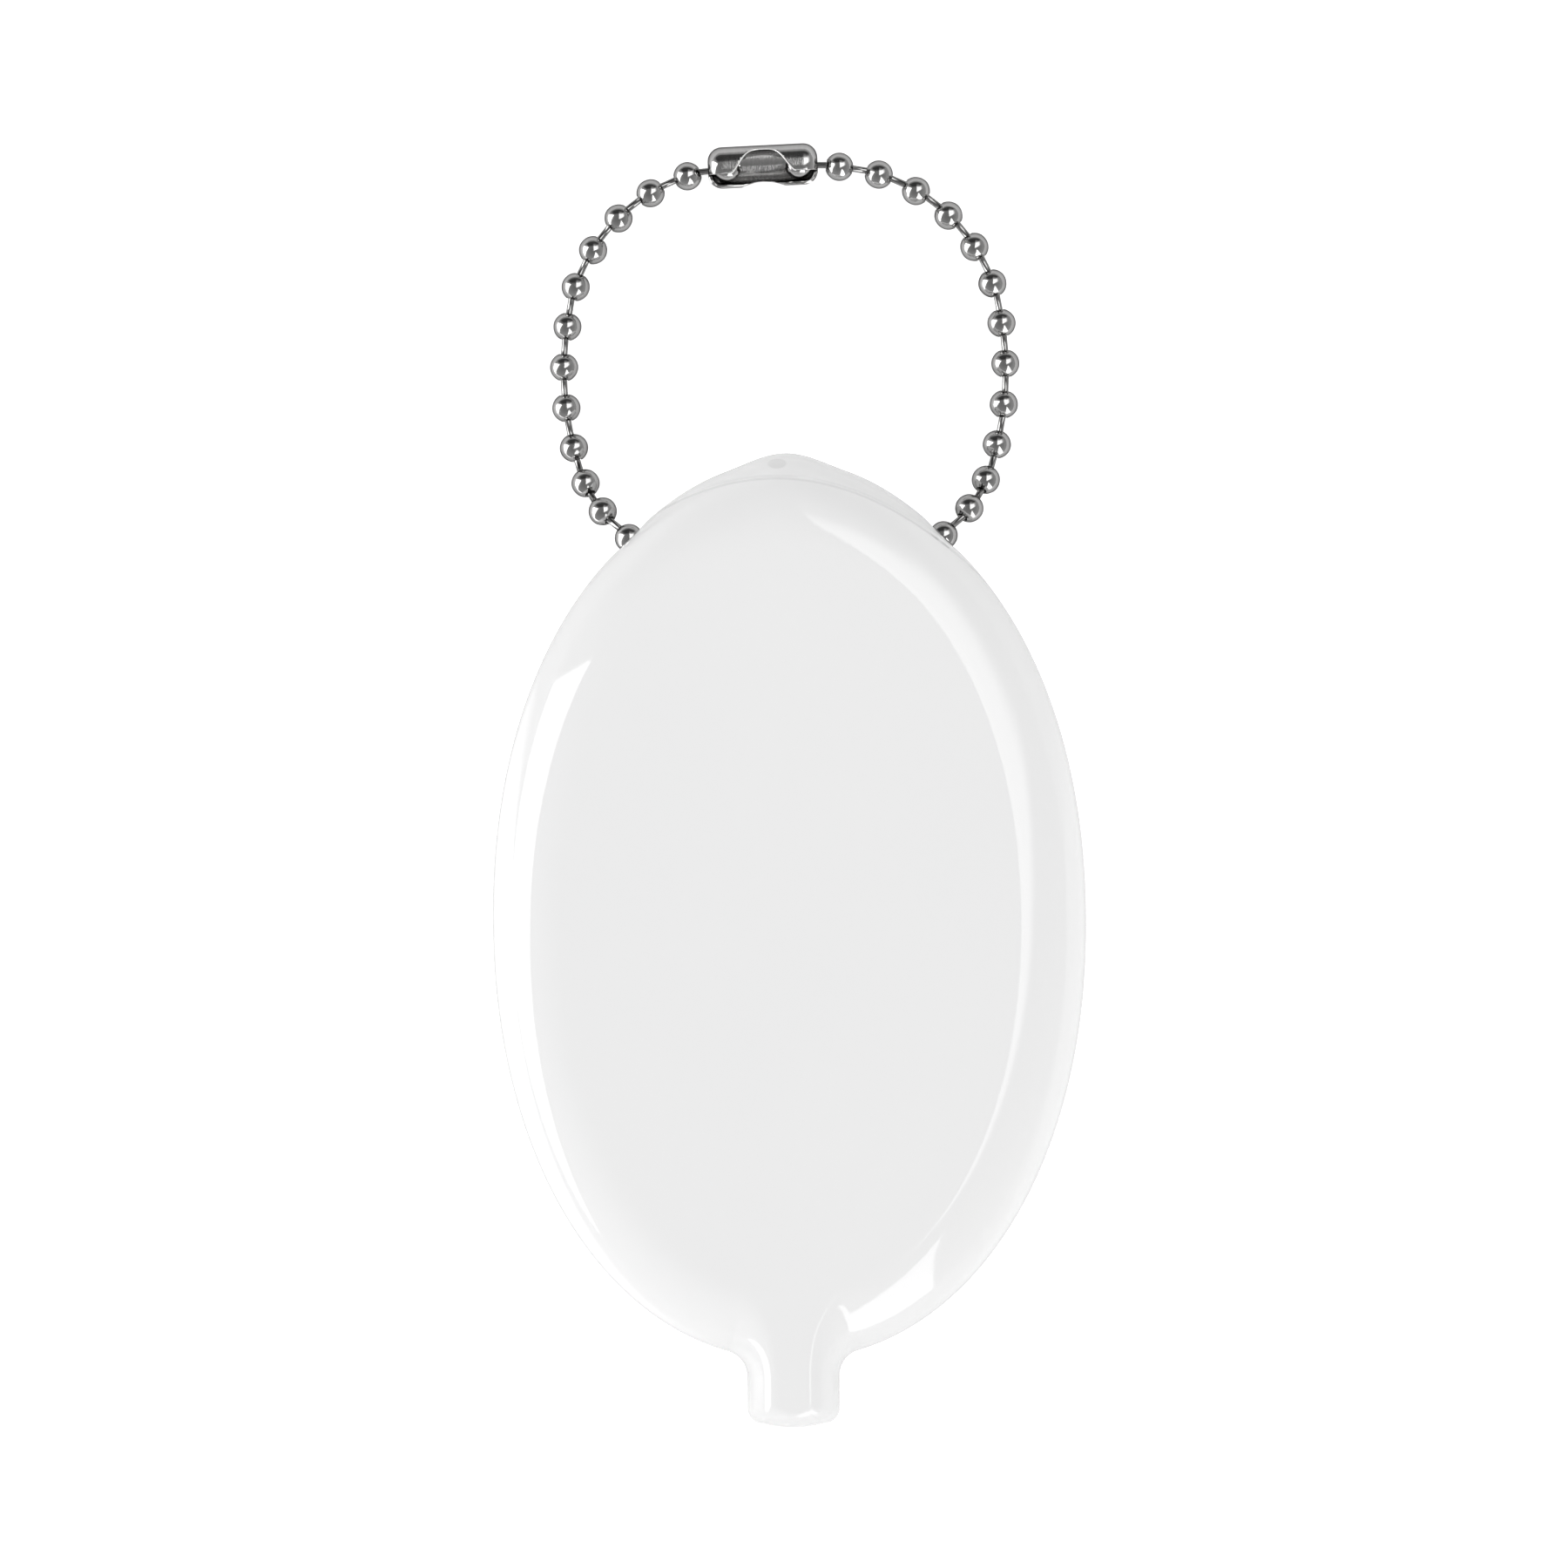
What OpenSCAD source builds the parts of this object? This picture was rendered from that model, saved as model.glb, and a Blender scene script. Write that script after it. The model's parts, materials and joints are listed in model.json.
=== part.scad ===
// Squeeze coin purse: a moulded soft vinyl pocket with a lengthwise mouth in its back,
// and a ball chain that runs through two cuts in its rim and closes in a folded connector.
// The purse lies on its back. X is its width, Y its length towards the chain, Z is up.
// The origin is the middle of the oval, on the plane that the back lies in.

/* [Oval] */
// Width of the oval
purse_w = 50; // [44:0.5:60]
// Length of the oval, without its tip and neck
purse_l = 74.2; // [66:0.2:90]
// Thickness from the front face to the back face
purse_t = 11.6; // [10:0.2:15]
// Thickness of the vinyl wall
wall = 1.4; // [1:0.1:1.8]
// Fullness of the oval, where 2 is an ellipse
oval_power = 2.1; // [2:0.05:2.5]

/* [Tip] */
// Rise of the tip's broad shoulder over the oval
shoulder_rise = 1.5; // [0.5:0.1:3]
// Distance from the middle to where the shoulder meets the oval
shoulder_reach = 15; // [12:0.5:18]
// Rise of the small drip point over the shoulder
drip_rise = 0.65; // [0.2:0.05:1.5]
// Distance from the middle to where the drip point meets the shoulder
drip_reach = 5.2; // [3:0.1:8]

/* [Neck] */
// Width of the neck
neck_w = 7.8; // [6:0.1:10]
// Length of the neck past the end of the oval
neck_l = 5.7; // [4:0.1:9]
// Radius of the hollow where the neck meets the oval
neck_fillet = 2.2; // [1:0.1:4]
// Radius of the corners at the neck's end
neck_corner = 1.3; // [0.5:0.1:2]
// How far the neck's end bulges
neck_crown = 0.35; // [0:0.05:0.8]
// Width of the rounding along each side of the neck
neck_round = 2.6; // [1.8:0.1:2.8]
// Depth of the rounding at the neck's end
end_round = 1.6; // [1.4:0.1:2]

/* [Mouth] */
// Length of the mouth's slit
mouth_l = 58; // [40:1:62]
// Width of the cut between the two lips
mouth_gap = 0.16; // [0.1:0.02:0.4]
// Distance from the slit to the line that a lip folds on
lip_w = 15; // [10:0.5:17]
// Half the width of the oval that bounds both lips
lip_bow = 17; // [15.5:0.5:19]
// Clearance round a lip
lip_gap = 0.15; // [0.1:0.01:0.4]

/* [Chain] */
// Diameter of a ball
ball_d = 2.4; // [2:0.1:3]
// Wall of a hollow ball
ball_wall = 0.18; // [0.1:0.02:0.3]
// Distance from one ball's middle to the next
pitch = 3.45; // [3.3:0.05:3.7]
// Diameter of a link's shank
shank_d = 0.54; // [0.4:0.02:0.6]
// Diameter of a link's two heads
head_d = 0.8; // [0.7:0.02:0.9]
// Clearance between a shank and the hole that it passes through
hole_play = 0.12; // [0.08:0.01:0.15]
// Room between a link's head and the wall that holds it
head_play = 0.1; // [0.05:0.01:0.2]
// Balls on each side, from the rim of the purse to the connector
side_balls = 13; // [9:1:13]
// Slope of the first link beside the connector, in degrees
crown_start = 11; // [5:1:20]
// Turn at each ball along the crown of the loop, in degrees
crown_turn = 13.3; // [8:0.1:15]
// Balls along each half of the crown
crown_balls = 5; // [3:1:6]
// Turn at each ball along the sides of the loop, in degrees
side_turn = 7.6; // [2:0.1:9]
// Turn at each of the last two balls before the purse, in degrees
foot_turn = 13; // [5:1:16]
// Climb of the last three links up to the rim of the purse, in degrees
foot_climb = [22, 34, 22]; // [0:1:45]
// Spare chain inside the pocket, in links
inner_slack = 1; // [0.2:0.1:2]

/* [Rim cuts] */
// Length of each cut in the rim
cut_l = 5.4; // [4:0.1:8]
// Height of each cut where the ball holds it open
cut_h = 3; // [2.8:0.1:4]

/* [Connector] */
// Thickness of the connector's sheet metal
sheet_t = 0.3; // [0.2:0.02:0.4]
// Clearance between an end ball and the connector
seat_play = 0.26; // [0.15:0.01:0.4]
// Clearance between an end ball and the connector's end
end_play = 0.1; // [0.05:0.01:0.3]
// Distance between the two end balls
seat_gap = 6.1; // [5:0.1:8]
// Rise of the connector's end ball over the line between its neighbours
seat_rise = 0.25; // [0:0.05:0.5]
// Radius of the connector's long corners at its ends
connector_corner = 1.2; // [0.8:0.1:1.4]
// Half the width of the arch in the front flap, at its foot
arch_foot = 2.55; // [1.8:0.05:3]
// Half the width of the arch at its top
arch_top = 0.9; // [0.4:0.05:1.6]
// Height of the arch's top over the connector's middle line
arch_h = 1.3; // [0.8:0.05:1.4]
// Distance of the front flap's lower edge below the middle line
flap_edge = 0.6; // [0.4:0.05:0.9]
// Height over the middle line that the back flap ends at
back_edge = 0.1; // [0:0.05:0.4]
// Half the width of the shallow notch in the back flap
notch_w = 1.9; // [1:0.1:2.4]
// Depth of the shallow notch
notch_h = 0.5; // [0.2:0.05:0.7]
// Radius of the hole in each end that the shank passes through
end_hole = 0.65; // [0.5:0.05:0.8]

/* [Hidden] */
$fn = 32;
fine = 96;
half_w = purse_w / 2;
half_l = purse_l / 2;
rim_r = purse_t / 2;
neck_half = neck_w / 2;
neck_end = -half_l - neck_l;
oval_steps = 28;
fillet_steps = 5;
corner_steps = 4;
end_steps = 3;
outer_steps = 10;
cavity_steps = 6;
solve_steps = 30;
inner_corner = 0.4;
vinyl = "white";
nickel = [0.78, 0.78, 0.8];

// A power that keeps the sign of its base
function signed_pow(v, e) = sign(v) * pow(abs(v), e);

// The oval, its outward direction, and the oval drawn in by d
function oval_point(a) =
    [half_w * signed_pow(cos(a), 2 / oval_power), half_l * signed_pow(sin(a), 2 / oval_power)];
function oval_out(p) =
    let (v = [signed_pow(p.x / half_w, oval_power - 1) / half_w,
              signed_pow(p.y / half_l, oval_power - 1) / half_l])
    v / norm(v);
function oval_inset(a, d) = let (p = oval_point(a)) p - d * oval_out(p);

// The tip's rise over the oval, and the rim's height in Y at a given X
function shoulder(x) = shoulder_rise * pow(max(0, 1 - pow(x / shoulder_reach, 2)), 1.5);
function drip(x) = drip_rise * (1 + cos(180 * min(1, abs(x) / drip_reach))) / 2;
function tip_rise(x) = shoulder(x) + drip(x);
function rim_y(x) = half_l * pow(1 - pow(abs(x) / half_w, oval_power), 1 / oval_power) + tip_rise(x);

// The angle on the oval where the neck's fillet begins
function foot_angle(low, high, n) =
    let (mid = (low + high) / 2)
    n == 0 ? mid
    : oval_inset(mid, -neck_fillet).x > neck_half + neck_fillet
        ? foot_angle(low, mid, n - 1)
        : foot_angle(mid, high, n - 1);
foot_a = foot_angle(-90, -45, solve_steps);
fillet_mid = oval_inset(foot_a, -neck_fillet);
fillet_out = -oval_out(oval_point(foot_a));
fillet_a = atan2(fillet_out.y, fillet_out.x);

// A station of the outline is three points: the outer rim, the pocket's rim, and the edge of the flat face
function oval_station(a) =
    let (p = oval_point(a))
    [p + [0, a > 0 ? tip_rise(p.x) : 0], oval_inset(a, wall), oval_inset(a, rim_r)];
function fillet_station(s) =
    let (a = fillet_a + (180 - fillet_a) * s,
         way = [cos(a), sin(a)],
         round = neck_round + (rim_r - neck_round) * pow(1 - s, 2))
    [fillet_mid + neck_fillet * way,
     fillet_mid + (neck_fillet + wall) * way,
     fillet_mid + (neck_fillet + round) * way];
function corner_station(s) =
    let (way = [cos(-90 * s), sin(-90 * s)],
         foot = neck_end + neck_crown)
    [[neck_half - neck_corner, foot + neck_corner] + neck_corner * way,
     [neck_half - wall - inner_corner, foot + wall + inner_corner] + inner_corner * way,
     [neck_half - neck_round - inner_corner, foot + end_round + inner_corner] + inner_corner * way];
function end_station(s) =
    let (bulge = neck_crown * (1 - s) * (1 - s))
    [[(neck_half - neck_corner) * (1 - s), neck_end + bulge],
     [(neck_half - wall - inner_corner) * (1 - s), neck_end + wall + bulge],
     [(neck_half - neck_round - inner_corner) * (1 - s), neck_end + end_round + bulge]];
right_side = concat(
    [for (i = [0 : oval_steps]) oval_station(90 + (foot_a - 90) * i / oval_steps)],
    [for (i = [1 : fillet_steps]) fillet_station(i / fillet_steps)],
    [for (i = [0 : corner_steps]) corner_station(i / corner_steps)],
    [for (i = [1 : end_steps]) end_station(i / end_steps)]);
left_side = [for (i = [len(right_side) - 2 : -1 : 1])
    [for (p = right_side[i]) [-p.x, p.y]]];
stations = concat(right_side, left_side);

// The mouth's outline has a point for each station, so that the wall round the lips is one band.
// Its angle runs from 0 at the tip to 180 at the neck, and these are the angles where the fillet starts and ends.
mouth_half = mouth_l / 2;
lens_foot = 171;
lens_neck = 176;
fillet_end = oval_steps + fillet_steps;
function lens_angle(i) =
    i <= oval_steps ? lens_foot * i / oval_steps
    : i <= fillet_end ? lens_foot + (lens_neck - lens_foot) * (i - oval_steps) / fillet_steps
    : lens_neck + (180 - lens_neck) * (i - fillet_end) / (len(right_side) - 1 - fillet_end);
function lens_point(i, grow) =
    let (a = lens_angle(i))
    [min(lip_w + grow, (lip_bow + grow) * sin(a)), (mouth_half + grow) * cos(a)];
right_lens = [for (i = [0 : len(right_side) - 1]) lens_point(i, lip_gap)];
lens = concat(right_lens, [for (i = [len(right_lens) - 2 : -1 : 1]) [-right_lens[i].x, right_lens[i].y]]);

// One level of the rounded rim, from the flat back at -90 degrees to the flat front at 90
function level(which, half_t, a) =
    [for (s = stations)
        let (p = s[2] + (s[which] - s[2]) * cos(a))
        [p.x, p.y, rim_r + half_t * sin(a)]];
function lens_level(z) = [for (p = lens) [p.x, p.y, z]];

// The moulding as one skin: down the outside from the front, in through the mouth, and up the pocket's wall
module moulding() {
    levels = concat(
        [for (j = [outer_steps : -1 : 0]) level(0, rim_r, 180 * j / outer_steps - 90)],
        [lens_level(0), lens_level(wall)],
        [for (j = [0 : cavity_steps]) level(1, rim_r - wall, 180 * j / cavity_steps - 90)]);
    n = len(stations);
    last = len(levels) - 1;
    bands = [for (j = [0 : last - 1], i = [0 : n - 1])
        let (k = (i + 1) % n,
             a = j * n + i,
             b = j * n + k)
        each [[a + n, b + n, b], [a + n, b, a]]];
    front = [for (i = [0 : n - 1]) i];
    pocket_top = [for (i = [n - 1 : -1 : 0]) last * n + i];
    polyhedron([for (points = levels) each points], concat(bands, [front, pocket_top]));
}

// One lip, on the side of +X
module lip() {
    edge = mouth_gap / 2;
    outline = [for (i = [0 : len(right_side) - 1]) lens_point(i, 0)];
    color(vinyl) linear_extrude(wall)
        intersection() {
            polygon(outline);
            translate([edge, -mouth_half]) square([lip_w, mouth_l]);
        }
}

// Loop of the chain, walked from the connector's end down to the rim of the purse
last_ball = side_balls - 1;
foot_start = last_ball - len(foot_climb);
function slope(k) =
    crown_start + crown_turn * min(k, crown_balls)
    + side_turn * max(0, min(k, foot_start) - crown_balls)
    + foot_turn * max(0, k - foot_start);
function climb(k) = k < foot_start ? 0 : foot_climb[k - foot_start];
connector_r = ball_d / 2 + seat_play + sheet_t;
end_climb = asin((connector_r - ball_d / 2) / pitch);

// Where ball k lies on the right side, counted from the connector and before the loop is placed on the purse
crown_half = (sqrt(seat_gap * seat_gap - seat_rise * seat_rise)
    + sqrt(pitch * pitch - seat_rise * seat_rise)) / 2;
function step(k) =
    let (up = k == 0 ? -end_climb : climb(k))
    pitch * [cos(up) * cos(slope(k)), -cos(up) * sin(slope(k)), sin(up)];
function walk(k) = k == 0 ? [crown_half, 0, connector_r] : walk(k - 1) + step(k - 1);
rim_ball = walk(last_ball);
loop_y = rim_y(rim_ball.x) - rim_ball.y;
right_walk = [for (k = [0 : last_ball]) walk(last_ball - k) + [0, loop_y, 0]];
left_walk = [for (p = right_walk) [-p.x, p.y, p.z]];
end_ball = right_walk[last_ball] + [-sqrt(pitch * pitch - seat_rise * seat_rise), seat_rise, 0];

// Run of the chain inside the pocket, an arc of equal steps from one rim cut to the other
run = 2 * rim_ball.x;
least_turn = 0.01;
most_turn = 40;
inner_links = ceil(run / pitch + inner_slack);
function arc_run(turn) = pitch * sin(inner_links * turn / 2) / sin(turn / 2);
function inner_turn(low, high, n) =
    let (mid = (low + high) / 2)
    n == 0 ? mid
    : arc_run(mid) > run ? inner_turn(mid, high, n - 1) : inner_turn(low, mid, n - 1);
bend = inner_turn(least_turn, most_turn, solve_steps);
function inner_place(k) =
    k == 0 ? left_walk[0]
    : let (a = -bend * (inner_links - 1) / 2 + bend * (k - 1))
        inner_place(k - 1) + pitch * [cos(a), sin(a), 0];
inner_walk = [for (k = [0 : inner_links]) inner_place(k)];

// The whole chain as one list of ball places, from the left end ball through the pocket to the right one
function reversed(list) = [for (i = [len(list) - 1 : -1 : 0]) list[i]];
inner_balls = [for (k = [1 : inner_links - 1]) inner_walk[k]];
chain = concat(reversed(left_walk), inner_balls, right_walk, [end_ball]);
left_foot = last_ball;
right_foot = last_ball + inner_links;

// A ball's own axis halves the turn between its two links
function unit(v) = v / norm(v);
function way(i) = unit(chain[i + 1] - chain[i]);
function ball_axis(i) =
    i == 0 ? way(0)
    : i == len(chain) - 1 ? way(i - 1)
    : unit(way(i - 1) + way(i));
hole_at = ball_d / 2 - ball_wall / 2;
function hole_after(i) = chain[i] + hole_at * ball_axis(i);
function hole_before(i) = chain[i] - hole_at * ball_axis(i);

// Puts what is built along +Z at a place, along a direction
module aim(place, direction) {
    v = unit(direction);
    translate(place) rotate([0, acos(v.z), atan2(v.y, v.x)]) children();
}

// A hollow ball with a hole at each end of its axis
module ball(i) {
    hole_r = shank_d / 2 + hole_play;
    color(nickel) aim(chain[i], ball_axis(i)) rotate_extrude()
        intersection() {
            difference() {
                circle(d = ball_d);
                circle(d = ball_d - 2 * ball_wall);
            }
            translate([hole_r, -ball_d]) square([ball_d, 2 * ball_d]);
        }
}

// A link with its two heads inside two neighbouring balls
head_reach = hole_at - ball_wall / 2 - head_play - head_d / 2;
module link(i) {
    from = hole_after(i);
    to = hole_before(i + 1);
    inside = hole_at - head_reach;
    half = pitch / 2 - hole_at + inside;
    color(nickel) aim((from + to) / 2, to - from) rotate_extrude()
        intersection() {
            union() {
                translate([0, -half]) circle(d = head_d);
                translate([0, half]) circle(d = head_d);
                translate([0, -half]) square([shank_d / 2, 2 * half]);
            }
            translate([0, -pitch]) square([pitch, 2 * pitch]);
        }
}

// Cuts in the rim that the chain passes through, at the first ball of each side
slope_step = 0.01;
cut_slope = (rim_y(rim_ball.x + slope_step) - rim_y(rim_ball.x - slope_step)) / (2 * slope_step);
cut_depth = 3 * wall;
cut_bow = (cut_l * cut_l + cut_h * cut_h) / (4 * cut_h);
module rim_cut() {
    translate([rim_ball.x, rim_y(rim_ball.x), rim_ball.z])
        rotate([0, 0, atan(cut_slope)])
            rotate([90, 0, 0])
                linear_extrude(cut_depth, center = true)
                    intersection() {
                        translate([0, cut_bow - cut_h / 2]) circle(cut_bow, $fn = fine);
                        translate([0, cut_h / 2 - cut_bow]) circle(cut_bow, $fn = fine);
                    }
}

module purse_shell() {
    color(vinyl) difference() {
        moulding();
        for (side = [0, 1]) mirror([side, 0, 0]) rim_cut();
    }
}

// The connector is built along X round its own middle line, front flap up
connector_l = seat_gap + ball_d + 2 * (end_play + sheet_t);
module tube(r, l, corner) {
    rotate([0, 90, 0]) rotate_extrude($fn = fine)
        intersection() {
            bar_profile(r, l, corner);
            translate([0, -l]) square([r, 2 * l]);
        }
}
module bar_profile(r, l, corner) {
    for (side = [-1, 1]) translate([r - corner, side * (l / 2 - corner)]) circle(corner);
    square([2 * r, l - 2 * corner], center = true);
    square([2 * (r - corner), l], center = true);
}
module front_arch() {
    linear_extrude(2 * connector_r)
        polygon([[-arch_foot, -connector_r], [-arch_foot, -flap_edge / 2], [-arch_top, arch_h],
                 [arch_top, arch_h], [arch_foot, -flap_edge / 2], [arch_foot, -connector_r]]);
}
module back_notch() {
    bow = (notch_w * notch_w + notch_h * notch_h) / (2 * notch_h);
    translate([0, -connector_r + notch_h - bow, -connector_r])
        cylinder(r = bow, h = 2 * connector_r, $fn = fine);
}
module connector_body() {
    difference() {
        tube(connector_r, connector_l, connector_corner);
        tube(connector_r - sheet_t, connector_l - 2 * sheet_t, connector_corner - sheet_t);
        front_arch();
        back_notch();
        translate([-connector_l, -2 * connector_r, back_edge])
            cube([2 * connector_l, 2 * connector_r - flap_edge, 2 * connector_r]);
        rotate([0, 90, 0]) cylinder(r = end_hole, h = 2 * connector_l, center = true);
    }
}
left_end = left_walk[last_ball];
seat_mid = (left_end + end_ball) / 2;
seat_tilt = atan2(end_ball.y - left_end.y, end_ball.x - left_end.x);
module connector() {
    color(nickel) translate(seat_mid) rotate([0, 0, seat_tilt]) connector_body();
}

// Names: balls and links are counted on each side from the rim of the purse to the connector
side_links = side_balls - 1;

purse_shell();
mirror([1, 0, 0]) lip();  // left_lip
lip();  // right_lip
for (i = [1 : side_balls])
    ball(left_foot + 1 - i);
for (i = [1 : side_links])
    link(left_foot - i);
for (i = [1 : side_balls + 1])
    ball(right_foot - 1 + i);
for (i = [1 : side_links + 1])
    link(right_foot - 1 + i);
for (i = [left_foot + 1 : right_foot - 1]) ball(i);  // inner_balls
for (i = [left_foot : right_foot - 1]) link(i);  // inner_links
connector();
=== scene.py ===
"""Squeeze coin purse: a glossy white vinyl pocket lying on its back, with a loop of nickel ball chain."""
import json
import math
import random

import bmesh
import bpy
from mathutils import Matrix, Vector

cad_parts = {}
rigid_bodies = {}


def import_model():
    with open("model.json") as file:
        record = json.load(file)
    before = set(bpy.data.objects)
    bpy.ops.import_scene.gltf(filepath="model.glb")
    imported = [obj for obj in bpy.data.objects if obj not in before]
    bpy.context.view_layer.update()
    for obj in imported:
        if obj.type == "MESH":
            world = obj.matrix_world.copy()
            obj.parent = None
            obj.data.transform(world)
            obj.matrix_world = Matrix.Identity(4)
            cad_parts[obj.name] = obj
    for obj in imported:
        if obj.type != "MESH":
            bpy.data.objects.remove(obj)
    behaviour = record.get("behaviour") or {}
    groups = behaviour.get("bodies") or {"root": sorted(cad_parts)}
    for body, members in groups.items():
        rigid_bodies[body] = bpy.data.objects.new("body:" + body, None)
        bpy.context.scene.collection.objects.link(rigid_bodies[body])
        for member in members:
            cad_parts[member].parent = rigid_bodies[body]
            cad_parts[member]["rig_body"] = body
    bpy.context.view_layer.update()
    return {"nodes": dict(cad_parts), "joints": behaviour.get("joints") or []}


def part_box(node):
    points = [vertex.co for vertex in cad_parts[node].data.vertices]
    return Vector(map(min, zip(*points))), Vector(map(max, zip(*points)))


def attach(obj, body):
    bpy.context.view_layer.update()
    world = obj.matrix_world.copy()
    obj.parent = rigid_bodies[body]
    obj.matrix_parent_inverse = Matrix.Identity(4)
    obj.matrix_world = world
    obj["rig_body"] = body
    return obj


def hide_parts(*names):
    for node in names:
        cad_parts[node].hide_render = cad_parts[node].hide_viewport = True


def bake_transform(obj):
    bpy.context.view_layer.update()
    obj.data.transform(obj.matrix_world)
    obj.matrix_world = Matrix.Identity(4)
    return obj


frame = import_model()

MM = 0.001

# Sizes of the moulding, in millimetres
PURSE_W = 50
PURSE_L = 74.2
PURSE_T = 11.6
WALL = 1.4
OVAL_POWER = 2.1
SHOULDER_RISE = 1.5
SHOULDER_REACH = 15
SHOULDER_POWER = 1.5
DRIP_RISE = 0.65
DRIP_REACH = 5.2
NECK_W = 7.8
NECK_L = 5.7
NECK_FILLET = 2.2
NECK_CORNER = 1.3
NECK_CROWN = 0.35
NECK_ROUND = 2.6
END_ROUND = 1.6
INNER_CORNER = 0.4
MOUTH_L = 58
MOUTH_GAP = 0.16
LIP_W = 15
LIP_BOW = 17
LIP_PLAY = 0.02

# Sizes of the chain, in millimetres
BALL_D = 2.4
BALL_WALL = 0.18
SIDE_BALLS = 13
SHANK_D = 0.54
HOLE_PLAY = 0.12

# Steps of the skin
OVAL_STEPS = 240
FILLET_STEPS = 20
CORNER_STEPS = 12
END_STEPS = 12
ROUND_STEPS = 56
CAVITY_STEPS = 16
HALVINGS = 40

HALF_W = PURSE_W / 2
HALF_L = PURSE_L / 2
RIM_R = PURSE_T / 2
NECK_HALF = NECK_W / 2
NECK_END = -HALF_L - NECK_L


# Outline of the moulding

def signed_pow(value, power):
    return math.copysign(abs(value) ** power, value)


def oval_point(angle):
    return Vector((HALF_W * signed_pow(math.cos(angle), 2 / OVAL_POWER),
                   HALF_L * signed_pow(math.sin(angle), 2 / OVAL_POWER)))


def oval_out(point):
    return Vector((signed_pow(point.x / HALF_W, OVAL_POWER - 1) / HALF_W,
                   signed_pow(point.y / HALF_L, OVAL_POWER - 1) / HALF_L)).normalized()


def oval_inset(angle, depth):
    point = oval_point(angle)
    return point - depth * oval_out(point)


def tip_rise(x):
    shoulder = SHOULDER_RISE * max(0, 1 - (x / SHOULDER_REACH) ** 2) ** SHOULDER_POWER
    drip = DRIP_RISE * (1 + math.cos(math.pi * min(1, abs(x) / DRIP_REACH))) / 2
    return shoulder + drip


def foot_angle():
    """The angle on the oval where the neck's fillet begins."""
    low, high = math.radians(-90), math.radians(-45)
    for _ in range(HALVINGS):
        mid = (low + high) / 2
        if oval_inset(mid, -NECK_FILLET).x > NECK_HALF + NECK_FILLET:
            high = mid
        else:
            low = mid
    return mid


FOOT = foot_angle()
FILLET_MID = oval_inset(FOOT, -NECK_FILLET)
FILLET_OUT = -oval_out(oval_point(FOOT))
FILLET_A = math.atan2(FILLET_OUT.y, FILLET_OUT.x)


def direction(angle):
    return Vector((math.cos(angle), math.sin(angle)))


def oval_station(angle):
    point = oval_point(angle)
    rise = tip_rise(point.x) if angle > 0 else 0
    return point + Vector((0, rise)), oval_inset(angle, WALL), oval_inset(angle, RIM_R)


def fillet_station(share):
    way = direction(FILLET_A + (math.pi - FILLET_A) * share)
    depth = NECK_ROUND + (RIM_R - NECK_ROUND) * (1 - share) ** 2
    return tuple(FILLET_MID + (NECK_FILLET + d) * way for d in (0, WALL, depth))


def corner_station(share):
    way = direction(-math.pi / 2 * share)
    foot = NECK_END + NECK_CROWN
    inner = INNER_CORNER * way
    return (Vector((NECK_HALF - NECK_CORNER, foot + NECK_CORNER)) + NECK_CORNER * way,
            Vector((NECK_HALF - WALL - INNER_CORNER, foot + WALL + INNER_CORNER)) + inner,
            Vector((NECK_HALF - NECK_ROUND - INNER_CORNER, foot + END_ROUND + INNER_CORNER)) + inner)


def end_station(share):
    bulge = NECK_CROWN * (1 - share) ** 2
    return (Vector(((NECK_HALF - NECK_CORNER) * (1 - share), NECK_END + bulge)),
            Vector(((NECK_HALF - WALL - INNER_CORNER) * (1 - share), NECK_END + WALL + bulge)),
            Vector(((NECK_HALF - NECK_ROUND - INNER_CORNER) * (1 - share), NECK_END + END_ROUND + bulge)))


def shares(count):
    return [i / count for i in range(1, count + 1)]


def right_stations():
    """Outer rim, pocket rim and edge of the flat face, from the tip down the right side to the neck's end."""
    top = math.pi / 2
    places = [oval_station(top + (FOOT - top) * i / OVAL_STEPS) for i in range(OVAL_STEPS + 1)]
    places += [fillet_station(s) for s in shares(FILLET_STEPS)]
    places += [corner_station(i / CORNER_STEPS) for i in range(CORNER_STEPS + 1)]
    places += [end_station(s) for s in shares(END_STEPS)]
    return places


def mirrored(places):
    """The whole outline from its right half, whose first and last places lie on the middle line."""
    left = [[Vector((-p.x, p.y)) for p in station] for station in places[-2:0:-1]]
    return list(places) + left


RIGHT = right_stations()
STATIONS = mirrored(RIGHT)


def lens_half_width(y):
    """Half the width of the two lips together at a height y."""
    half = MOUTH_L / 2
    bow = LIP_BOW * math.sqrt(max(0, 1 - (y / half) ** 2))
    return min(LIP_W, bow)


# Building of meshes

SHARP = 35
MERGED = 1e-7


def ring(bm, places):
    """A closed ring of edges through the places, made from a circle."""
    verts = bmesh.ops.create_circle(bm, segments=len(places), radius=1)["verts"]
    for vert, place in zip(verts, places):
        vert.co = place
    return verts


def ring_edges(verts):
    chosen = set(verts)
    edges = {e for v in verts for e in v.link_edges}
    return [e for e in edges if e.verts[0] in chosen and e.verts[1] in chosen]


def grown(bm, verts, places):
    """Extrudes a ring and moves the new ring to the places, which follow the old ring's order."""
    made = bmesh.ops.extrude_edge_only(bm, edges=ring_edges(verts))["geom"]
    fresh = {v for v in made if isinstance(v, bmesh.types.BMVert)}
    new = []
    for vert, place in zip(verts, places):
        partner = next(e.other_vert(vert) for e in vert.link_edges if e.other_vert(vert) in fresh)
        partner.co = place
        new.append(partner)
    return new


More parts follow.
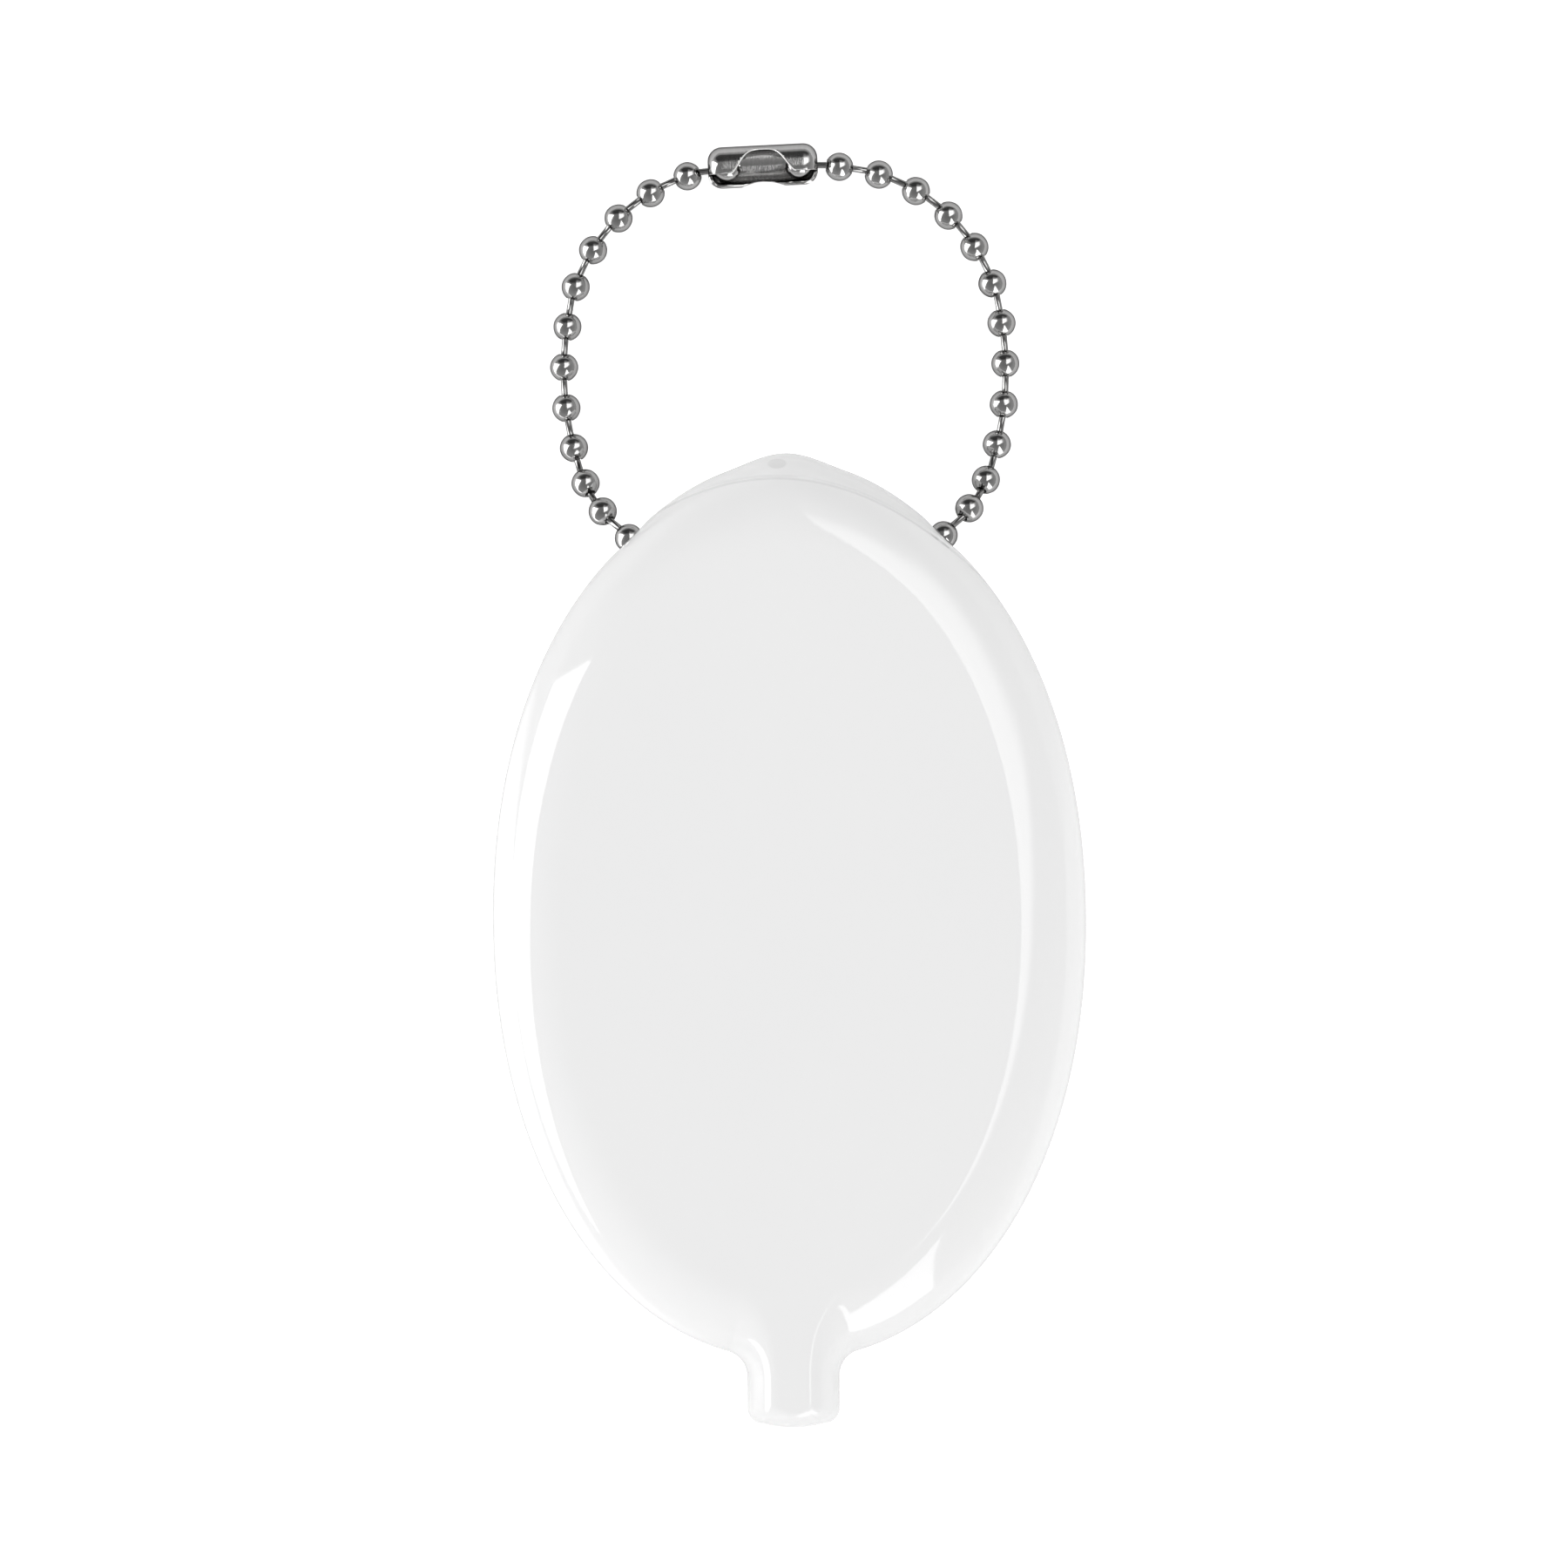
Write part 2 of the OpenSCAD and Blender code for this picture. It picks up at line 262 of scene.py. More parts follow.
def finished(bm, name, material, sharp=SHARP):
    """An object from a bmesh, with its faces pointing outwards, smooth but for its corners."""
    bmesh.ops.recalc_face_normals(bm, faces=bm.faces)
    if bm.calc_volume(signed=True) < 0:
        bmesh.ops.reverse_faces(bm, faces=bm.faces)
    mesh = bpy.data.meshes.new(name)
    bm.to_mesh(mesh)
    bm.free()
    mesh.shade_smooth()
    mesh.set_sharp_from_angle(angle=math.radians(sharp))
    mesh.materials.append(material)
    piece = bpy.data.objects.new(name, mesh)
    bpy.context.scene.collection.objects.link(piece)
    return piece


def applied(piece):
    """Makes a piece's modifiers part of its mesh."""
    graph = bpy.context.evaluated_depsgraph_get()
    mesh = bpy.data.meshes.new_from_object(piece.evaluated_get(graph))
    piece.modifiers.clear()
    piece.data = mesh
    return piece


# Materials

def material(name, colour, roughness, metallic=0.0):
    made = bpy.data.materials.new(name)
    made.use_nodes = True
    shader = made.node_tree.nodes["Principled BSDF"]
    shader.inputs["Base Color"].default_value = (*colour, 1)
    shader.inputs["Roughness"].default_value = roughness
    shader.inputs["Metallic"].default_value = metallic
    return made, shader


def node(tree, kind, values=(), **settings):
    made = tree.nodes.new(kind)
    for key, value in settings.items():
        setattr(made, key, value)
    for key, value in dict(values).items():
        made.inputs[key].default_value = value
    return made


def noise(tree, scale, detail, stretch=(1, 1, 1)):
    """Noise on the object's own coordinates, stretched along an axis where asked."""
    place = node(tree, "ShaderNodeTexCoord")
    mapping = node(tree, "ShaderNodeMapping", {"Scale": stretch})
    made = node(tree, "ShaderNodeTexNoise", {"Scale": scale, "Detail": detail})
    tree.links.new(place.outputs["Object"], mapping.inputs["Vector"])
    tree.links.new(mapping.outputs["Vector"], made.inputs["Vector"])
    return made.outputs["Fac"]


def faded(tree, value, span, low=0, high=1, kind="LINEAR"):
    """A number that goes from low to high while a value goes through a span."""
    ends = {"From Min": span[0], "From Max": span[1], "To Min": low, "To Max": high}
    made = node(tree, "ShaderNodeMapRange", ends, interpolation_type=kind)
    tree.links.new(value, made.inputs["Value"])
    return made.outputs["Result"]


def tinted(tree, value, dark, light):
    made = node(tree, "ShaderNodeMix", data_type="RGBA")
    made.inputs["A"].default_value = (*dark, 1)
    made.inputs["B"].default_value = (*light, 1)
    tree.links.new(value, made.inputs["Factor"])
    return made.outputs["Result"]


def bumped(tree, shader, heights):
    """Chains bumps, each a height, a distance in metres and a strength."""
    last = None
    for height, distance, strength in heights:
        made = node(tree, "ShaderNodeBump", {"Distance": distance, "Strength": strength})
        tree.links.new(height, made.inputs["Height"])
        if last:
            tree.links.new(last, made.inputs["Normal"])
        last = made.outputs["Normal"]
    tree.links.new(last, shader.inputs["Normal"])


def maths(tree, operation, *values):
    """A maths node on numbers and sockets."""
    made = node(tree, "ShaderNodeMath", operation=operation)
    for i, value in enumerate(values):
        if isinstance(value, (int, float)):
            made.inputs[i].default_value = value
        else:
            tree.links.new(value, made.inputs[i])
    return made.outputs[0]


def place_on_purse(tree):
    """X and Y from the middle of the purse in millimetres, as sockets."""
    split = node(tree, "ShaderNodeSeparateXYZ")
    tree.links.new(node(tree, "ShaderNodeTexCoord").outputs["Object"], split.inputs[0])
    return [maths(tree, "DIVIDE", split.outputs[axis], MM) for axis in ("X", "Y")]


CREASE_TOP = 37.1
CREASE_MIDDLE = -1
CREASE_BOW = 0.0275
CREASE_W = 0.25
CREASE_DEPTH = 0.12 * MM


def crease(tree):
    """A shallow crease that runs along the rim inside the tip."""
    x, y = place_on_purse(tree)
    aside = maths(tree, "SUBTRACT", x, CREASE_MIDDLE)
    bow = maths(tree, "MULTIPLY", maths(tree, "POWER", maths(tree, "ABSOLUTE", aside), 2), CREASE_BOW)
    off = maths(tree, "ABSOLUTE", maths(tree, "SUBTRACT", maths(tree, "ADD", y, bow), CREASE_TOP))
    return faded(tree, off, (0, CREASE_W), kind="SMOOTHSTEP")


MARK_AT = (-0.73, 38.3)
MARK_SIZE = (0.9, 0.5)
MARK_EDGE = 0.3
# How much the painted shade darkens the colour in the mark's dimple.
MARK_PAINTED_SHADE = 0.91
MARK_DEPTH = 0.03 * MM


def mark(tree):
    """0 on the round mark of the mould's plug on the tip, and 1 off it; the mark is a shallow dimple with
    painted shade in it.
    """
    squares = []
    for value, at, reach in zip(place_on_purse(tree), MARK_AT, MARK_SIZE):
        off = maths(tree, "DIVIDE", maths(tree, "SUBTRACT", value, at), reach)
        squares.append(maths(tree, "POWER", maths(tree, "ABSOLUTE", off), 2))
    away = maths(tree, "SQRT", maths(tree, "ADD", *squares))
    return faded(tree, away, (1 - MARK_EDGE, 1), kind="SMOOTHSTEP")


VINYL = (0.86, 0.86, 0.86)
VINYL_DARK = (0.852, 0.852, 0.854)
VINYL_LIGHT = (0.868, 0.868, 0.866)
VINYL_IOR = 1.52
VINYL_ROUGHNESS = (0.03, 0.05)
CLOUD_SCALE = 60
POLISH_SCALE = 900
RIPPLE_SCALE = 130
RIPPLE_DEPTH = 0.06 * MM
RIPPLE_STRENGTH = 0.35
GRAIN_SCALE = 1500
GRAIN_DEPTH = 0.006 * MM
GRAIN_STRENGTH = 0.5


def vinyl_material():
    made, shader = material("white_vinyl", VINYL, sum(VINYL_ROUGHNESS) / 2)
    tree = made.node_tree
    shader.inputs["IOR"].default_value = VINYL_IOR
    colour = tinted(tree, noise(tree, CLOUD_SCALE, 3), VINYL_DARK, VINYL_LIGHT)
    plug = mark(tree)
    # The colour's random tone, darker on the plug's mark as painted shade in its dimple.
    tone_and_mark_shade = node(tree, "ShaderNodeVectorMath", operation="SCALE")
    tree.links.new(colour, tone_and_mark_shade.inputs[0])
    tree.links.new(faded(tree, plug, (0, 1), MARK_PAINTED_SHADE, 1), tone_and_mark_shade.inputs["Scale"])
    tree.links.new(tone_and_mark_shade.outputs["Vector"], shader.inputs["Base Color"])
    polish = faded(tree, noise(tree, POLISH_SCALE, 2), (0, 1), *VINYL_ROUGHNESS)
    tree.links.new(polish, shader.inputs["Roughness"])
    bumped(tree, shader, [(noise(tree, RIPPLE_SCALE, 1), RIPPLE_DEPTH, RIPPLE_STRENGTH),
                          (noise(tree, GRAIN_SCALE, 2), GRAIN_DEPTH, GRAIN_STRENGTH),
                          (crease(tree), CREASE_DEPTH, 1), (plug, MARK_DEPTH, 1)])
    return made


NICKEL = (0.66, 0.655, 0.65)
NICKEL_SPREAD = 0.09
NICKEL_ROUGHNESS = (0.07, 0.2)
RIM_TINT = 0.15
WEAR_SCALE = 700
BRUSH_SCALE = 2500
BRUSH_DEPTH = 0.01 * MM
BRUSH_STRENGTH = 0.6
EVEN = (1, 1, 1)
DRAWN = (8, 1, 1)
BALL_TONE = 0.74
SHEET_TONE = 0.81
LINK_TONE = 0.48
# The arch's raised edge is paler and only partly metallic: a painted highlight along it.
EDGE_HIGHLIGHT_COLOUR = (0.9, 0.895, 0.89)
EDGE_ROUGHNESS = 0.15
EDGE_METALLIC = 0.4


def nickel_material(name, stretch, tone):
    """Worn nickel plate, with the strength of its tone and the way in which its fine marks are stretched."""
    made, shader = material(name, NICKEL, sum(NICKEL_ROUGHNESS) / 2, 1)
    tree = made.node_tree
    shader.inputs["Specular Tint"].default_value = (RIM_TINT, RIM_TINT, RIM_TINT, 1)
    wear = noise(tree, WEAR_SCALE, 4, stretch)
    dark, light = [[tone * c * (1 + sign * NICKEL_SPREAD) for c in NICKEL] for sign in (-1, 1)]
    tree.links.new(tinted(tree, wear, dark, light), shader.inputs["Base Color"])
    tree.links.new(faded(tree, wear, (0, 1), *NICKEL_ROUGHNESS), shader.inputs["Roughness"])
    bumped(tree, shader, [(noise(tree, BRUSH_SCALE, 2, stretch), BRUSH_DEPTH, BRUSH_STRENGTH)])
    return made


WHITE_VINYL = vinyl_material()
BALL_NICKEL = nickel_material("nickel_ball", EVEN, BALL_TONE)
SHEET_NICKEL = nickel_material("nickel_sheet", DRAWN, SHEET_TONE)
LINK_NICKEL = nickel_material("nickel_link", EVEN, LINK_TONE)
EDGE_HIGHLIGHT_NICKEL = material("nickel_edge_highlight", EDGE_HIGHLIGHT_COLOUR, EDGE_ROUGHNESS, EDGE_METALLIC)[0]


# Vinyl moulding

def level(which, half_t, angle):
    """The outline at an angle of its rounded edge: -90 degrees is the flat back and 90 the flat front."""
    places = []
    for station in STATIONS:
        p = station[2] + (station[which] - station[2]) * math.cos(angle)
        places.append(Vector((p.x, p.y, RIM_R + half_t * math.sin(angle))) * MM)
    return places


def window(z):
    """The edge of the opening that holds the two lips, with one point for each station."""
    half = MOUTH_L / 2
    right = []
    for i in range(len(RIGHT)):
        angle = math.pi * i / (len(RIGHT) - 1)
        y = half * math.cos(angle)
        right.append([Vector((lens_half_width(y), y))])
    return [Vector((p[0].x, p[0].y, z)) * MM for p in mirrored(right)]


def vinyl_shell():
    """The hollow moulding as one skin: front, rim, back, in through the window and up the pocket's wall."""
    bm = bmesh.new()
    turns = [math.pi * i / ROUND_STEPS - math.pi / 2 for i in range(ROUND_STEPS, -1, -1)]
    front = ring(bm, level(0, RIM_R, turns[0]))
    verts = front
    for angle in turns[1:]:
        verts = grown(bm, verts, level(0, RIM_R, angle))
    for z in (0, WALL):
        verts = grown(bm, verts, window(z))
    for i in range(CAVITY_STEPS + 1):
        verts = grown(bm, verts, level(1, RIM_R - WALL, math.pi * i / CAVITY_STEPS - math.pi / 2))
    for cap in (front, verts):
        bmesh.ops.contextual_create(bm, geom=ring_edges(cap))
    return finished(bm, "vinyl_shell", WHITE_VINYL)


def centre(name):
    low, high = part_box(name)
    return (low + high) / 2


CUT_L = 5.4
CUT_H = 3
CUT_DEPTH = 4.2
CUT_STEPS = 12
SLOPE_STEP = 0.01


def rim_cutter(side):
    """A prism with an almond outline, where the ball holds the cut in the rim open."""
    ball = centre(side + "_ball_1")
    bow = (CUT_L ** 2 + CUT_H ** 2) / (4 * CUT_H)
    reach = math.asin(CUT_L / 2 / bow)
    x = abs(ball.x) / MM
    slope = (rim_y(x + SLOPE_STEP) - rim_y(x - SLOPE_STEP)) / (2 * SLOPE_STEP)
    outline = []
    for sign in (1, -1):
        for i in range(CUT_STEPS):
            angle = sign * (-reach + 2 * reach * i / CUT_STEPS)
            outline.append((bow * math.sin(angle), sign * (bow * math.cos(angle) - bow + CUT_H / 2)))
    bm = bmesh.new()
    verts = ring(bm, [Vector((u, -CUT_DEPTH / 2, w)) * MM for u, w in outline])
    bmesh.ops.contextual_create(bm, geom=ring_edges(verts))
    made = bmesh.ops.extrude_face_region(bm, geom=bm.faces[:])["geom"]
    moved = [v for v in made if isinstance(v, bmesh.types.BMVert)]
    bmesh.ops.translate(bm, verts=moved, vec=(0, CUT_DEPTH * MM, 0))
    turn = math.atan(slope) * (1 if ball.x > 0 else -1)
    place = Matrix.Translation(ball) @ Matrix.Rotation(turn, 4, "Z")
    bmesh.ops.transform(bm, matrix=place, verts=bm.verts)
    return finished(bm, side + "_rim_cutter", WHITE_VINYL)


def rim_y(x):
    return HALF_L * (1 - (abs(x) / HALF_W) ** OVAL_POWER) ** (1 / OVAL_POWER) + tip_rise(x)


shell = vinyl_shell()
for side in ("left", "right"):
    cutter = rim_cutter(side)
    cut = shell.modifiers.new("rim_cut", "BOOLEAN")
    cut.object = cutter
    cut.operation = "DIFFERENCE"
    cut.solver = "EXACT"
    applied(shell)
    bpy.data.objects.remove(cutter)
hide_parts("purse_shell")
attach(shell, "purse")


# Lips of the mouth, in four parts, each from the mouth's middle to one of its ends

LIP_ACROSS = 12
LIP_ALONG = 60


def lip(side, half):
    """Half of one lip, from the middle of the mouth to one of its ends."""
    right = 1 if side == "right" else -1
    up = 1 if half == "upper" else -1
    end = MOUTH_L / 2 - LIP_PLAY
    bm = bmesh.new()
    bmesh.ops.create_grid(bm, x_segments=LIP_ACROSS, y_segments=LIP_ALONG, size=0.5)
    for vert in bm.verts:
        across, along = vert.co.x + 0.5, vert.co.y + 0.5
        y = end * math.sin(along * math.pi / 2)
        edge = MOUTH_GAP / 2
        x = edge + across * (max(edge + LIP_PLAY, lens_half_width(y)) - edge)
        vert.co = Vector((right * x, up * y, 0)) * MM
    made = bmesh.ops.extrude_face_region(bm, geom=bm.faces[:])["geom"]
    raised = [v for v in made if isinstance(v, bmesh.types.BMVert)]
    bmesh.ops.translate(bm, verts=raised, vec=(0, 0, WALL * MM))
    piece = finished(bm, side + "_lip_" + half, WHITE_VINYL)
    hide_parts(side + "_lip")
    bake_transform(piece)


for side in ("left", "right"):
    for half in ("upper", "lower"):
        lip(side, half)


# Ball chain

BALL_SEEDS = 50
BALL_AROUND = 40
BALL_UP = 24
BALL_SHARP = 50
METAL_SHARP = 40
DENTS = 4
DENT_DEPTH = 0.004
DENT_WAVES = (2, 4)
DENT_PHASES = (0, 6.28)
SEAM_DEPTH = 0.03
SEAM_W = 0.09


def ball_mesh(seed):
    """A hollow rolled ball along Z, with a hole at each end, a seam along one side and slight dents."""
    draw = random.Random(seed)
    bm = bmesh.new()
    bmesh.ops.create_uvsphere(bm, u_segments=BALL_AROUND, v_segments=BALL_UP, radius=BALL_D / 2 * MM)
    hole = (SHANK_D / 2 + HOLE_PLAY) / (1 - 2 * BALL_WALL / BALL_D) * MM
    height = math.sqrt((BALL_D / 2 * MM) ** 2 - hole ** 2)
    for sign in (1, -1):
        geom = bm.verts[:] + bm.edges[:] + bm.faces[:]
        bmesh.ops.bisect_plane(bm, geom=geom, plane_co=(0, 0, sign * height), plane_no=(0, 0, sign),
                               clear_outer=True)
    bmesh.ops.solidify(bm, geom=bm.faces[:], thickness=BALL_WALL * MM)
    waves = [(Vector((draw.uniform(-1, 1), draw.uniform(-1, 1), draw.uniform(-1, 1))).normalized(),
              draw.uniform(*DENT_WAVES), draw.uniform(*DENT_PHASES)) for _ in range(DENTS)]
    seam = draw.uniform(-math.pi, math.pi)
    for vert in bm.verts:
        way = vert.co.normalized()
        swell = sum(DENT_DEPTH * math.sin(count * way.dot(axis) * 2 + phase) for axis, count, phase in waves)
        turn = (math.atan2(way.y, way.x) - seam + math.pi) % (2 * math.pi) - math.pi
        swell -= SEAM_DEPTH * math.exp(-(turn / SEAM_W) ** 2)
        vert.co *= 1 + swell / (BALL_D / 2)
    return bm


def along(axis):
    return Vector((0, 0, 1)).rotation_difference(axis).to_matrix().to_4x4()


def ball(name, axis, seed):
    bm = ball_mesh(seed)
    bmesh.ops.transform(bm, matrix=Matrix.Translation(centre(name)) @ along(axis), verts=bm.verts)
    piece = finished(bm, name + "_bead", BALL_NICKEL, BALL_SHARP)
    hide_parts(name)
    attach(piece, frame["nodes"][name]["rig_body"])


def smooth_copy(name, nickel):
    """A CAD node's mesh with its doubles merged and its round faces smooth."""
    bm = bmesh.new()
    bm.from_mesh(frame["nodes"][name].data)
    bmesh.ops.remove_doubles(bm, verts=bm.verts, dist=MERGED)
    mesh = bpy.data.meshes.new(name + "_metal")
    bm.to_mesh(mesh)
    bm.free()
    mesh.shade_smooth()
    mesh.set_sharp_from_angle(angle=math.radians(METAL_SHARP))
    mesh.materials.clear()
    mesh.materials.append(nickel)
    piece = bpy.data.objects.new(name + "_metal", mesh)
    bpy.context.scene.collection.objects.link(piece)
    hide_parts(name)
    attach(piece, frame["nodes"][name]["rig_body"])


rim_hole = next(Vector(j["pos_m"]) for j in frame["joints"] if j["name"] == "chain_lift")
for side, count in (("left", SIDE_BALLS), ("right", SIDE_BALLS + 1)):
    names = ["%s_ball_%d" % (side, k) for k in range(1, count + 1)]
    places = [centre(name) for name in names]
    places.insert(0, Vector((math.copysign(rim_hole.x, places[0].x), rim_hole.y, rim_hole.z)))
    for k, name in enumerate(names, 1):
        axis = (places[k] - places[k - 1]).normalized()
        if 1 < k < count:
            axis += (places[k + 1] - places[k]).normalized()
        ball(name, axis.normalized(), k if side == "left" else BALL_SEEDS + k)
for name in frame["nodes"]:
    if "link" in name:
        smooth_copy(name, LINK_NICKEL)
smooth_copy("inner_balls", BALL_NICKEL)


# Connector, one folded sheet round the two end balls

SHEET_T = 0.3
CONNECTOR_R = 1.76
CONNECTOR_L = 9.3
CONNECTOR_CORNER = 1.2
END_HOLE = 0.65
FLAP_EDGE = 0.6
BACK_EDGE = 0.1
ARCH_FOOT = 2.8
ARCH_H = 1.36
ARCH_FULLNESS = 1.8
NOTCH_W = 1.9
NOTCH_H = 0.5
BEAD_R = 0.055
BEAD_SIDES = 8
BEAD_SHARP = 60
CLOSE = BEAD_R / 100
ROUND = 72
ARCH_STEPS = 48
SIDE_STEPS = 40


def turned(x, radius):
    """A ring of places round the connector's middle line."""
    return [Vector((x, radius * math.cos(a), radius * math.sin(a)))
            for a in (2 * math.pi * i / ROUND for i in range(ROUND))]


def half_profile(radius, length, corner):
    """Stations of X and radius from one end hole round the body to the other, with rounded corners."""
    start = math.asin((END_HOLE - radius + corner) / corner)
    turns = [start + (math.pi / 2 - start) * i / CORNER_STEPS for i in range(CORNER_STEPS + 1)]
    end_x = corner - length / 2
    end_r = radius - corner
    end = [(end_x - corner * math.cos(a), end_r + corner * math.sin(a)) for a in turns]
    half = length / 2 - corner
    side = [(half * (2 * i / SIDE_STEPS - 1), radius) for i in range(1, SIDE_STEPS)]
    return end + side + [(-x, r) for x, r in reversed(end)]


def arch_y(x):
    """Height of the front flap's arched edge."""
    share = min(1, abs(x) / ARCH_FOOT) ** ARCH_FULLNESS
    return -FLAP_EDGE + (ARCH_H + FLAP_EDGE) * (1 + math.cos(math.pi * share)) / 2


def prism(outline, low, high):
    """A cutter from a flat outline in X and Y, in millimetres."""
    bm = bmesh.new()
    verts = ring(bm, [Vector((x, y, low)) for x, y in outline])
    bmesh.ops.contextual_create(bm, geom=ring_edges(verts))
    made = bmesh.ops.extrude_face_region(bm, geom=bm.faces[:])["geom"]
    moved = [v for v in made if isinstance(v, bmesh.types.BMVert)]
    bmesh.ops.translate(bm, verts=moved, vec=(0, 0, high - low))
    return finished(bm, "cutter", SHEET_NICKEL)


def connector_cutters():
    """One cutter below the front flap's arched edge, and one for the shallow notch in the lower side."""
    reach = CONNECTOR_L
    steps = [ARCH_FOOT * (2 * i / ARCH_STEPS - 1) for i in range(ARCH_STEPS + 1)]
    arch = [(x, arch_y(x)) for x in steps]
    front = [(-reach, -FLAP_EDGE)] + arch + [(reach, -FLAP_EDGE), (reach, -reach), (-reach, -reach)]
    bow = (NOTCH_W ** 2 + NOTCH_H ** 2) / (2 * NOTCH_H)
    circle = [2 * math.pi * i / ROUND for i in range(ROUND)]
    middle = -CONNECTOR_R + NOTCH_H - bow
    notch = [(bow * math.cos(a), middle + bow * math.sin(a)) for a in circle]
    return [prism(front, BACK_EDGE, reach), prism(notch, -reach, reach)]


def arch_bead():
    """The smooth raised edge of the arch."""
    bm = bmesh.new()
    verts = None
    for i in range(ARCH_STEPS + 1):
        x = ARCH_FOOT * (2 * i / ARCH_STEPS - 1)
        y = arch_y(x)
        middle = Vector((x, y, math.sqrt(CONNECTOR_R ** 2 - y ** 2)))
        ahead = Vector((x + SLOPE_STEP, arch_y(x + SLOPE_STEP), 0)) - Vector((x, y, 0))
        across = Vector((-ahead.y, ahead.x, 0)).normalized()
        turns = (2 * math.pi * k / BEAD_SIDES for k in range(BEAD_SIDES))
        places = [middle + BEAD_R * (across * math.cos(a) + Vector((0, 0, math.sin(a)))) for a in turns]
        verts = grown(bm, verts, places) if verts else ring(bm, places)
    # Its paler nickel is a painted highlight along the rounded edge.
    return finished(bm, "connector_edge", EDGE_HIGHLIGHT_NICKEL, BEAD_SHARP)


def connector():
    """The tube with its end holes, cut open in front and joined by the arch's raised edge."""
    stations = half_profile(CONNECTOR_R, CONNECTOR_L, CONNECTOR_CORNER)
    inner = half_profile(CONNECTOR_R - SHEET_T, CONNECTOR_L - 2 * SHEET_T, CONNECTOR_CORNER - SHEET_T)
    stations += inner[::-1]
    bm = bmesh.new()
    verts = ring(bm, turned(*stations[0]))
    for station in stations[1:] + stations[:1]:
        verts = grown(bm, verts, turned(*station))
    bmesh.ops.remove_doubles(bm, verts=bm.verts, dist=CLOSE)
    body = finished(bm, "connector_sheet", SHEET_NICKEL, METAL_SHARP)
    for cutter in connector_cutters():
        cut = body.modifiers.new("cut", "BOOLEAN")
        cut.object = cutter
        cut.operation = "DIFFERENCE"
        cut.solver = "EXACT"
        applied(body)
        bpy.data.objects.remove(cutter)
    ends = [centre("left_ball_%d" % SIDE_BALLS), centre("right_ball_%d" % (SIDE_BALLS + 1))]
    line = ends[1] - ends[0]
    turn = Matrix.Rotation(math.atan2(line.y, line.x), 4, "Z")
    place = Matrix.Translation((ends[0] + ends[1]) / 2) @ turn @ Matrix.Scale(MM, 4)
    for piece in (body, arch_bead()):
        piece.data.transform(place)
        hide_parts("connector")
        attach(piece, "connector")


connector()


# Camera, seen straight from above through a long lens

PIXEL = 0.0734 * MM
FRAME_PIXELS = 1800
MIDDLE = Vector((905, 1055))
ROLL = math.radians(-0.49)
LENS = 200
SENSOR = 36
width = FRAME_PIXELS * PIXEL
target = Vector(((FRAME_PIXELS / 2 - MIDDLE.x) * PIXEL, (MIDDLE.y - FRAME_PIXELS / 2) * PIXEL, RIM_R * MM))
camera_data = bpy.data.cameras.new("camera")
camera_data.lens = LENS
camera_data.sensor_width = SENSOR
camera = bpy.data.objects.new("camera", camera_data)
camera.location = target + Vector((0, 0, width * LENS / SENSOR))
camera.rotation_euler.z = ROLL
bpy.context.scene.collection.objects.link(camera)
bpy.context.scene.camera = camera


# Floor that the camera sees as white, with the object's soft shadow on it

TABLE_HALF = 3
TABLE_DROP = 0.02 * MM
TABLE_COLOUR = (0.9, 0.9, 0.9)
TABLE_ROUGHNESS = 0.6
TABLE_GLOW = 0.6
POOL_GLOW = 4
EDGE_GLOW = 0.35
POOL_ACROSS = (-60, 0)
POOL_FOOT = (-46, -34)
POOL_TOP = (12, 24)
POOL_EDGE = (1.25, 1.6)


def painted_pool_of_light(tree):
    """Painted light on the floor that only reflections see: a pool beside the purse, stronger on the left,
    with painted shadow close to the oval where none glows.
    """
    x, y = place_on_purse(tree)
    strength = faded(tree, x, POOL_ACROSS, POOL_GLOW, EDGE_GLOW)
    beside = maths(tree, "MULTIPLY", faded(tree, y, POOL_TOP, 1, 0), faded(tree, y, POOL_FOOT))
    across = maths(tree, "DIVIDE", x, HALF_W)
    down = maths(tree, "DIVIDE", y, HALF_L)
    away = maths(tree, "MULTIPLY_ADD", across, across, maths(tree, "MULTIPLY", down, down))
    open_floor = maths(tree, "MULTIPLY", beside, faded(tree, away, POOL_EDGE))
    return maths(tree, "MULTIPLY", strength, open_floor)


def floor():
    bm = bmesh.new()
    bmesh.ops.create_grid(bm, x_segments=1, y_segments=1, size=TABLE_HALF)
    bmesh.ops.translate(bm, verts=bm.verts, vec=(0, 0, -TABLE_DROP))
    made, shader = material("white_table", TABLE_COLOUR, TABLE_ROUGHNESS)
    tree = made.node_tree
    path = node(tree, "ShaderNodeLightPath")
    seen = maths(tree, "MAXIMUM", path.outputs["Is Camera Ray"], path.outputs["Is Transmission Ray"])
    # Glossy rays see the painted pool of light and its painted shadow by the oval.
    painted_pool_glow = maths(tree, "MULTIPLY", path.outputs["Is Glossy Ray"], painted_pool_of_light(tree))
    glow = maths(tree, "MULTIPLY_ADD", seen, TABLE_GLOW, painted_pool_glow)
    shader.inputs["Emission Color"].default_value = (1, 1, 1, 1)
    tree.links.new(glow, shader.inputs["Emission Strength"])
    finished(bm, "table", made)


floor()


# Studio round the object: a dim room with soft panels, each bounded by the directions to its corners

